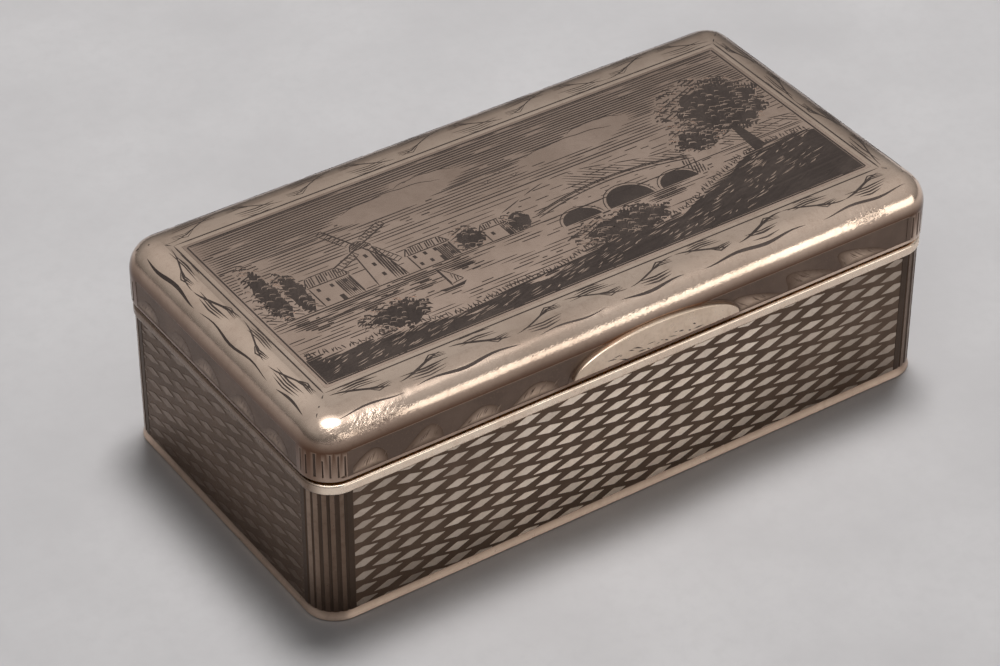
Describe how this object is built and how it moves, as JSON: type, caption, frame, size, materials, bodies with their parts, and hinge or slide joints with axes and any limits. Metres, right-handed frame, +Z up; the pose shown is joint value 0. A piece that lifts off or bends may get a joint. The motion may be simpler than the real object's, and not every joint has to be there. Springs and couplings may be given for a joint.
{
  "type": "snuff box",
  "caption": "Low rectangular hinged metal box with rounded corners, dark inlaid fields, a fitted lid with a thumb piece and a knuckle hinge along its back.",
  "frame": {"origin": "middle of the foot band's lower face, on the surface that the box stands on", "axes": "+X along the box, -Y towards the thumb piece, +Y towards the hinge, +Z up"},
  "size_m": [0.0722, 0.0385, 0.0236],
  "materials": {
    "silver": "worn warm grey silver, satin",
    "bright_silver": "rubbed bright silver on edges",
    "gilt": "worn gilding",
    "niello": "dark grey fused niello, semi-matt"
  },
  "bodies": {
    "body": {"body_wall": "silver", "bottom_plate": "silver", "foot_band": "bright_silver", "rim_band": "bright_silver", "bezel": "gilt", "niello_body_front": "niello", "niello_body_back": "niello", "niello_body_left": "niello", "niello_body_right": "niello", "body_hinge_bearer": "silver", "body_knuckle_1": "silver", "body_knuckle_3": "silver", "body_knuckle_5": "silver", "body_knuckle_7": "silver", "hinge_pin": "bright_silver", "hinge_plug_left": "silver", "hinge_plug_right": "silver"},
    "lid": {"lid_cover": "silver", "lid_hinge_bearer": "silver", "lid_knuckle_2": "silver", "lid_knuckle_4": "silver", "lid_knuckle_6": "silver", "thumb_piece": "bright_silver", "niello_lid_picture": "niello", "niello_lid_front_left": "niello", "niello_lid_front_right": "niello", "niello_lid_left": "niello", "niello_lid_right": "niello"}
  },
  "joints": [
    {"name": "lid_hinge", "type": "hinge", "parent": "body", "child": "lid", "pos_m": [0, 0.0182, 0.01675], "axis": [-1, 0, 0], "range_deg": [0, 105]}
  ]
}
